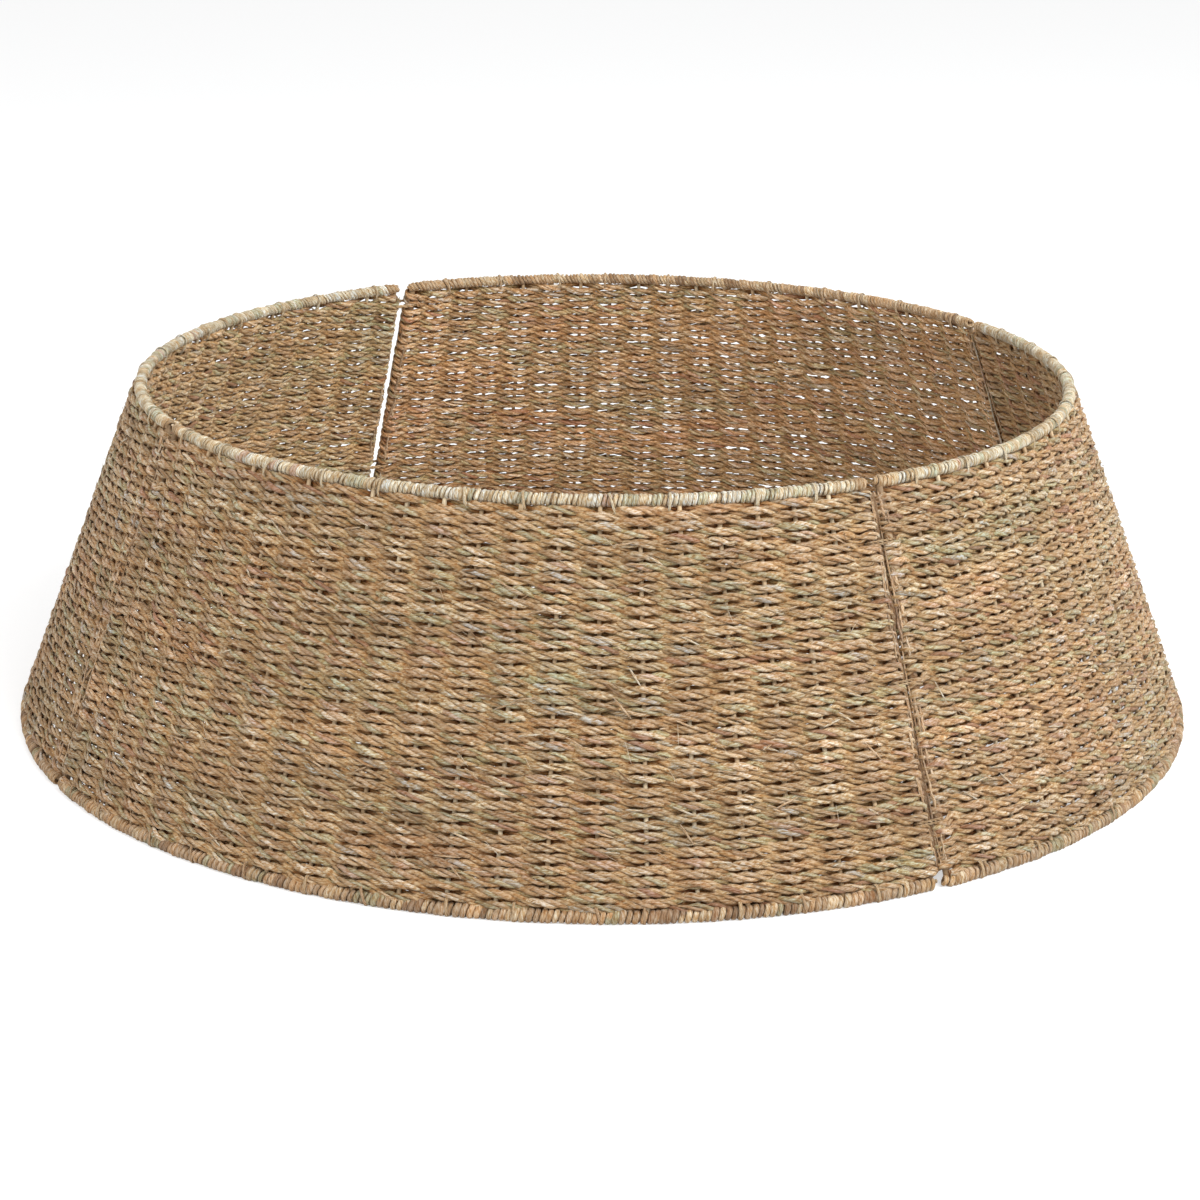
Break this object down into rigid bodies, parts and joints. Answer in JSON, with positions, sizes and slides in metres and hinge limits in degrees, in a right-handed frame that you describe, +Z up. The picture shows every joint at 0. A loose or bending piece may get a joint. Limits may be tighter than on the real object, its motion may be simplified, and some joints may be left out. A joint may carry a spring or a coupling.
{
  "type": "christmas tree collar",
  "caption": "Cone-shaped ring of curved woven seagrass panels on wire frames, lashed at three hinge seams and tied shut at the fourth, that hides a tree stand.",
  "frame": {"origin": "on the floor in the middle of the ring", "axes": "+Z up, -Y towards the viewer of the front panel, +X to the viewer's right"},
  "size_m": [0.699, 0.6989, 0.1998],
  "materials": {
    "seagrass_weave": "twisted seagrass rope, dry and matt, straw with green, grey and reddish strands",
    "top_binding": "tight wrap of pale split fibre",
    "bottom_binding": "tight wrap of browner split fibre",
    "lashing_cord": "twisted fibre cord",
    "frame_wire": "iron wire lacquered straw brown"
  },
  "bodies": {
    "front_panel": {"front_frame": "frame_wire", "front_weave": "seagrass_weave", "front_top_binding": "top_binding", "front_bottom_binding": "bottom_binding"},
    "right_panel": {"right_frame": "frame_wire", "right_weave": "seagrass_weave", "right_top_binding": "top_binding", "right_bottom_binding": "bottom_binding", "front_right_lower_lashing": "lashing_cord", "front_right_middle_lashing": "lashing_cord", "front_right_upper_lashing": "lashing_cord"},
    "rear_panel": {"rear_frame": "frame_wire", "rear_weave": "seagrass_weave", "rear_top_binding": "top_binding", "rear_bottom_binding": "bottom_binding", "right_rear_lower_lashing": "lashing_cord", "right_rear_middle_lashing": "lashing_cord", "right_rear_upper_lashing": "lashing_cord"},
    "left_panel": {"left_frame": "frame_wire", "left_weave": "seagrass_weave", "left_top_binding": "top_binding", "left_bottom_binding": "bottom_binding", "front_left_lower_lashing": "lashing_cord", "front_left_middle_lashing": "lashing_cord", "front_left_upper_lashing": "lashing_cord", "closing_lower_tie": "lashing_cord", "closing_upper_tie": "lashing_cord"}
  },
  "joints": [
    {"name": "right_hinge", "type": "hinge", "parent": "front_panel", "child": "right_panel", "pos_m": [0.16842, -0.3027, 0.0031], "axis": [-0.1797, 0.3113, 0.9332], "range_deg": [-110, 0], "deforming": ["closing_lower_tie", "closing_upper_tie"]},
    {"name": "rear_hinge", "type": "hinge", "parent": "right_panel", "child": "rear_panel", "pos_m": [0.3027, 0.16842, 0.0031], "axis": [-0.3113, -0.1797, 0.9332], "range_deg": [-110, 80], "deforming": ["closing_lower_tie", "closing_upper_tie"]},
    {"name": "left_hinge", "type": "hinge", "parent": "front_panel", "child": "left_panel", "pos_m": [-0.2972, -0.17794, 0.0031], "axis": [0.3113, 0.1797, 0.9332], "range_deg": [0, 110], "deforming": ["closing_lower_tie", "closing_upper_tie"]}
  ]
}
